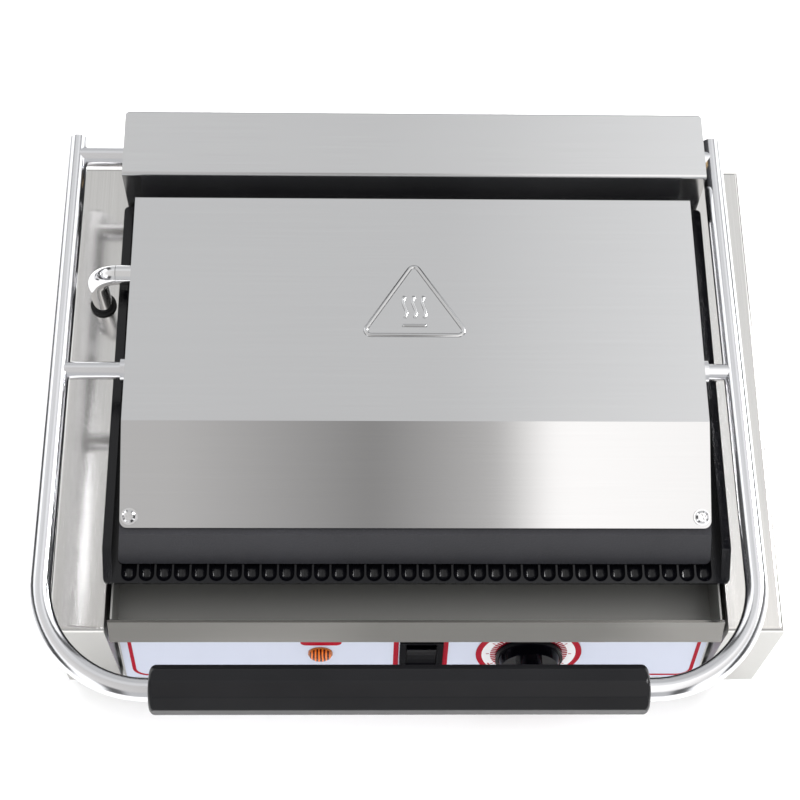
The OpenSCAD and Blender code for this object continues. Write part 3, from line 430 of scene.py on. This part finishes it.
def add_floor():
    """Pale studio table under the press."""
    mesh = bpy.data.meshes.new("floor")
    corners = [(x * FLOOR_HALF, y * FLOOR_HALF, 0) for x, y in ((-1, -1), (1, -1), (1, 1), (-1, 1))]
    mesh.from_pydata(corners, [], [(0, 1, 2, 3)])
    floor = bpy.data.objects.new("floor", mesh)
    bpy.context.collection.objects.link(floor)
    mat, tree, shader = new_material("studio_floor")
    cloud = noise(tree, (2.0, 2.0, 2.0))
    tree.links.new(mix(tree, cloud, (0.93, 0.93, 0.93), (0.95, 0.95, 0.95)), shader.inputs["Base Color"])
    shader.inputs["Roughness"].default_value = 0.7
    shader.inputs["Specular IOR Level"].default_value = 0.1
    floor.data.materials.append(mat)


add_camera()
add_world()
for light_row in LIGHTS:
    add_area_light(*light_row)
add_floor()
bpy.context.scene.view_settings.view_transform = "Standard"


# ---------------------------------------------------------------- pieces

def add_piece(name, mesh, mat, body):
    """Object for a finished mesh, riding on a CAD body."""
    piece = bpy.data.objects.new(name, mesh)
    piece.data.materials.append(mat)
    bpy.context.collection.objects.link(piece)
    if body:
        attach(piece, body)
    return piece


def mesh_from(name, build):
    """New mesh filled by build(bm)."""
    bm = bmesh.new()
    build(bm)
    bmesh.ops.recalc_face_normals(bm, faces=bm.faces)
    mesh = bpy.data.meshes.new(name)
    bm.to_mesh(mesh)
    bm.free()
    return mesh


def arc(centre, radius, start, stop, count):
    """Points of an arc, in degrees."""
    steps = [math.radians(start + (stop - start) * i / count) for i in range(count + 1)]
    return [(centre[0] + radius * math.cos(a), centre[1] + radius * math.sin(a)) for a in steps]


def rounded_outline(x0, y0, x1, y1, radius, count=8):
    """Closed outline of a rectangle with round corners, anticlockwise."""
    corners = [(x1 - radius, y1 - radius, 0), (x0 + radius, y1 - radius, 90),
               (x0 + radius, y0 + radius, 180), (x1 - radius, y0 + radius, 270)]
    return [p for x, y, a in corners for p in arc((x, y), radius, a, a + 90, count)]


def strip_between(bm, outer, inner, place, height):
    """Raised band between two outlines of the same number of points."""
    rings = [[bm.verts.new(place(x, y, h)) for x, y in ring]
             for ring, h in ((outer, 0.0), (outer, height), (inner, height), (inner, 0.0))]
    count = len(outer)
    for low, high in zip(rings, rings[1:] + rings[:1]):
        for i in range(count):
            j = (i + 1) % count
            bm.faces.new((low[i], low[j], high[j], high[i]))


def slab(bm, outline, place, height):
    """Flat plate of that outline and height."""
    low = [bm.verts.new(place(x, y, 0.0)) for x, y in outline]
    high = [bm.verts.new(place(x, y, height)) for x, y in outline]
    bm.faces.new(low)
    bm.faces.new(high)
    for i in range(len(outline)):
        j = (i + 1) % len(outline)
        bm.faces.new((low[i], low[j], high[j], high[i]))


# ---------------------------------------------------------------- print on the control panel

label_low, label_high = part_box("panel_label")
ring_low, ring_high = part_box("dial_ring")
KNOB = next(j for j in frame["joints"] if j["name"] == "knob_turn")
DIAL = Vector(KNOB["pos_m"])
OUTWARD = -Vector(KNOB["axis"])
UPWARD = Vector((1.0, 0.0, 0.0)).cross(-OUTWARD).normalized()


def on_label(x, up, out):
    """Point on the label: x across in the part's frame, up from the dial's centre line, out of its face."""
    return Vector((x, 0, 0)) + Vector((0, DIAL.y, DIAL.z)) + UPWARD * up + OUTWARD * (LABEL_T + out)


def panel_reach(z_target):
    """Height up the label, from the dial's centre line, at which it reaches a world height."""
    return (z_target - DIAL.z) / UPWARD.z


def add_label_print():
    """Red border, a line on each side of the switch, the lamp's tag and an icon's frame."""
    low_edge = panel_reach(label_low.z)
    high_edge = panel_reach(label_high.z)
    left, right = label_low.x + 4.3 * MM, label_high.x - 3.4 * MM
    bottom, top = low_edge + 2.4 * MM, high_edge - 4.0 * MM
    switch_low, switch_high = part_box("switch_housing")
    lamp_low, lamp_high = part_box("lamp_body")
    lamp_x = (lamp_low.x + lamp_high.x) / 2

    def build(bm):
        line = BORDER_LINE
        outer = rounded_outline(left, bottom, right, top, BORDER_R)
        inner = rounded_outline(left + line, bottom + line * 0.8, right - line, top - line, BORDER_R - line)
        strip_between(bm, outer, inner, on_label, PRINT_T)
        for x0, x1 in ((switch_low.x - 3.6 * MM, switch_low.x - 0.6 * MM),
                       (switch_high.x + 0.1 * MM, switch_high.x + 3.0 * MM)):
            slab(bm, [(x0, bottom + line), (x1, bottom + line), (x1, top - line), (x0, top - line)],
                 on_label, PRINT_T)
        tag_x = lamp_x + 0.5 * MM
        slab(bm, rounded_outline(tag_x - TAG_HALF, TAG_LOW, tag_x + TAG_HALF, TAG_LOW + TAG_H, TAG_R),
             on_label, PRINT_T)
        icon_x, icon_top = DIAL.x + ICON_OFF, ICON_LOW + ICON_SIZE
        outer = rounded_outline(icon_x, ICON_LOW, icon_x + ICON_SIZE, icon_top, 2.0 * MM)
        inner = rounded_outline(icon_x + ICON_LINE, ICON_LOW + ICON_LINE, icon_x + ICON_SIZE - ICON_LINE,
                                icon_top - ICON_LINE, 1.4 * MM)
        strip_between(bm, outer, inner, on_label, PRINT_T)

    add_piece("label_lines", mesh_from("label_lines", build), red_print, "base")


def circle(radius, count=96):
    """Closed circle about the dial's centre."""
    return arc((DIAL.x, 0.0), radius, 0.0, 360.0 - 360.0 / count, count - 1)


def add_dial_print():
    """White ring with red ticks and a red arc over the dial's red disc, and white ticks nearer the knob."""
    outer_r = (ring_high.x - ring_low.x) / 2
    white_out, white_in = outer_r - 3.4 * MM, outer_r - 8.3 * MM

    def above(x, up, out):
        return on_label(x, up, out + RING_T)

    def higher(x, up, out):
        return above(x, up, out + PRINT_T)

    def add_ticks(bm, count, inner, outer, half, place):
        for i in range(count + 1):
            tick(bm, math.radians(DIAL_START - DIAL_SWEEP * i / count), inner, outer, half, place)

    def build_white(bm):
        strip_between(bm, circle(white_out), circle(white_in), above, PRINT_T)
        add_ticks(bm, FINE_TICKS, white_in - 3.0 * MM, white_in + 0.1 * MM, 0.30 * MM, above)

    def build_red(bm):
        add_ticks(bm, BOLD_TICKS, white_in + 0.6 * MM, white_in + 2.4 * MM, 0.35 * MM, higher)
        for first in (-52.0, 232.0):
            points_out = arc((DIAL.x, 0.0), white_out - 1.0 * MM, first, first - 26.0, 12)
            points_in = arc((DIAL.x, 0.0), white_out - 1.9 * MM, first, first - 26.0, 12)
            slab(bm, points_out + points_in[::-1], higher, PRINT_T)

    add_piece("dial_white", mesh_from("dial_white", build_white), white_print, "base")
    add_piece("dial_red", mesh_from("dial_red", build_red), red_print, "base")


def tick(bm, angle, inner, outer, half, place):
    """Short radial line on the dial."""
    along = Vector((math.cos(angle), math.sin(angle)))
    side = Vector((-along.y, along.x)) * half
    base = Vector((DIAL.x, 0.0))
    ends = [base + along * inner - side, base + along * outer - side, base + along * outer + side,
            base + along * inner + side]
    slab(bm, [(p.x, p.y) for p in ends], place, PRINT_T)


add_label_print()
add_dial_print()


# ---------------------------------------------------------------- mark pressed into the cover

def ridge(bm, path, width, height, base_z, closed=False):
    """Low rounded ridge along a flat path, standing on base_z."""
    profile = [(-0.5, 0.0), (-0.34, 0.55), (-0.13, 0.93), (0.13, 0.93), (0.34, 0.55), (0.5, 0.0)]
    rows = []
    count = len(path)
    for i, point in enumerate(path):
        before = path[i - 1] if i or closed else path[i]
        after = path[(i + 1) % count] if i < count - 1 or closed else path[i]
        run = (Vector(after) - Vector(before)).normalized()
        side = Vector((-run.y, run.x))
        rows.append([bm.verts.new((point[0] + side.x * a * width, point[1] + side.y * a * width,
                                   base_z + h * height)) for a, h in profile])
    pairs = list(zip(rows, rows[1:])) + ([(rows[-1], rows[0])] if closed else [])
    for low, high in pairs:
        for i in range(len(profile) - 1):
            bm.faces.new((low[i], low[i + 1], high[i + 1], high[i]))
        bm.faces.new((low[-1], low[0], high[0], high[-1]))
    if not closed:
        bm.faces.new(rows[0])
        bm.faces.new(rows[-1][::-1])


def rounded_triangle(apex, left, right, radius, count=6):
    """Path round a triangle with round corners."""
    corners = [Vector(apex), Vector(left), Vector(right)]
    path = []
    for i, corner in enumerate(corners):
        to_last = (corners[i - 1] - corner).normalized()
        to_next = (corners[(i + 1) % 3] - corner).normalized()
        half = to_last.angle(to_next) / 2
        centre = corner + (to_last + to_next).normalized() * radius / math.sin(half)
        start = corner + to_last * radius / math.tan(half) - centre
        stop = corner + to_next * radius / math.tan(half) - centre
        swing = start.angle_signed(stop)
        for step in range(count + 1):
            turned = start.copy()
            turned.rotate(Matrix.Rotation(-swing * step / count, 2))
            path.append(tuple(centre + turned))
    return path


def add_cover_mark():
    """Plain three-cornered pressing with three ribs and a bar inside."""
    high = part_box("upper_cover")[1]
    top = high.z - SUNK
    mid_y = high.y - COVER_REAR_TO_MIDDLE

    def build(bm):
        tri = rounded_triangle((MARK_X, mid_y + MARK_HIGH), (MARK_X - MARK_HALF, mid_y + MARK_LOW),
                               (MARK_X + MARK_HALF, mid_y + MARK_LOW), MARK_R)
        ridge(bm, tri, 2.6 * MM, 0.55 * MM, top, closed=True)
        for x in (-7.0, -1.6, 3.8):
            rib = [((x + 0.9 * math.sin(i * math.pi / 6)) * MM, mid_y + (14.5 + 1.15 * i) * MM) for i in range(13)]
            ridge(bm, rib, 1.9 * MM, 0.45 * MM, top)
        ridge(bm, [((-8.6 + 1.4 * i) * MM, mid_y + 9.6 * MM) for i in range(11)], 2.0 * MM, 0.45 * MM, top)

    mark = add_piece("cover_mark", mesh_from("cover_mark", build), cover_steel, "lid_plate")
    for face in mark.data.polygons:
        face.use_smooth = True


add_cover_mark()


# ---------------------------------------------------------------- chromed conduit

def add_tube(name, route, radius, capped_end):
    """Smooth tube along a route in an XZ plane; capped_end, 0 or -1, is the row that gets a cap."""
    sides = 40
    across = Vector((0, 1, 0))

    def build(bm):
        rows = []
        for i, point in enumerate(route):
            run = (route[min(i + 1, len(route) - 1)] - route[max(i - 1, 0)]).normalized()
            up = run.cross(across)
            spokes = [2 * math.pi * k / sides for k in range(sides)]
            rows.append([bm.verts.new(point + (across * math.cos(a) + up * math.sin(a)) * radius) for a in spokes])
        for low, high in zip(rows, rows[1:]):
            for k in range(sides):
                n = (k + 1) % sides
                bm.faces.new((low[k], low[n], high[n], high[k]))
        bm.faces.new(rows[capped_end])

    tube = add_piece(name, mesh_from(name, build), mirror_chrome, None)
    for face in tube.data.polygons:
        face.use_smooth = len(face.vertices) == 4
    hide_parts("conduit")
    return tube


def add_conduit():
    """Chromed tube up out of the ledge and over into the cover's side, in two lengths."""
    low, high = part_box("conduit")
    radius = (high.y - low.y) / 2
    mid_y = (high.y + low.y) / 2
    drop_x = low.x + radius
    run_z = high.z - radius
    bend_x, bend_z = drop_x + CONDUIT_BEND, run_z - CONDUIT_BEND
    steps = 16

    riser = [Vector((drop_x, mid_y, low.z + (bend_z - low.z) * i / steps)) for i in range(steps)]
    riser += [Vector((x, mid_y, z)) for x, z in arc((bend_x, bend_z), CONDUIT_BEND, 180.0, 90.0, steps)]
    lead_in = [Vector((bend_x + (high.x - bend_x) * i / steps, mid_y, run_z)) for i in range(steps + 1)]

    tube = add_tube("conduit_riser", riser, radius, 0)
    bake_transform(tube)
    tube = add_tube("conduit_lead_in", lead_in, radius, -1)
    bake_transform(tube)


add_conduit()
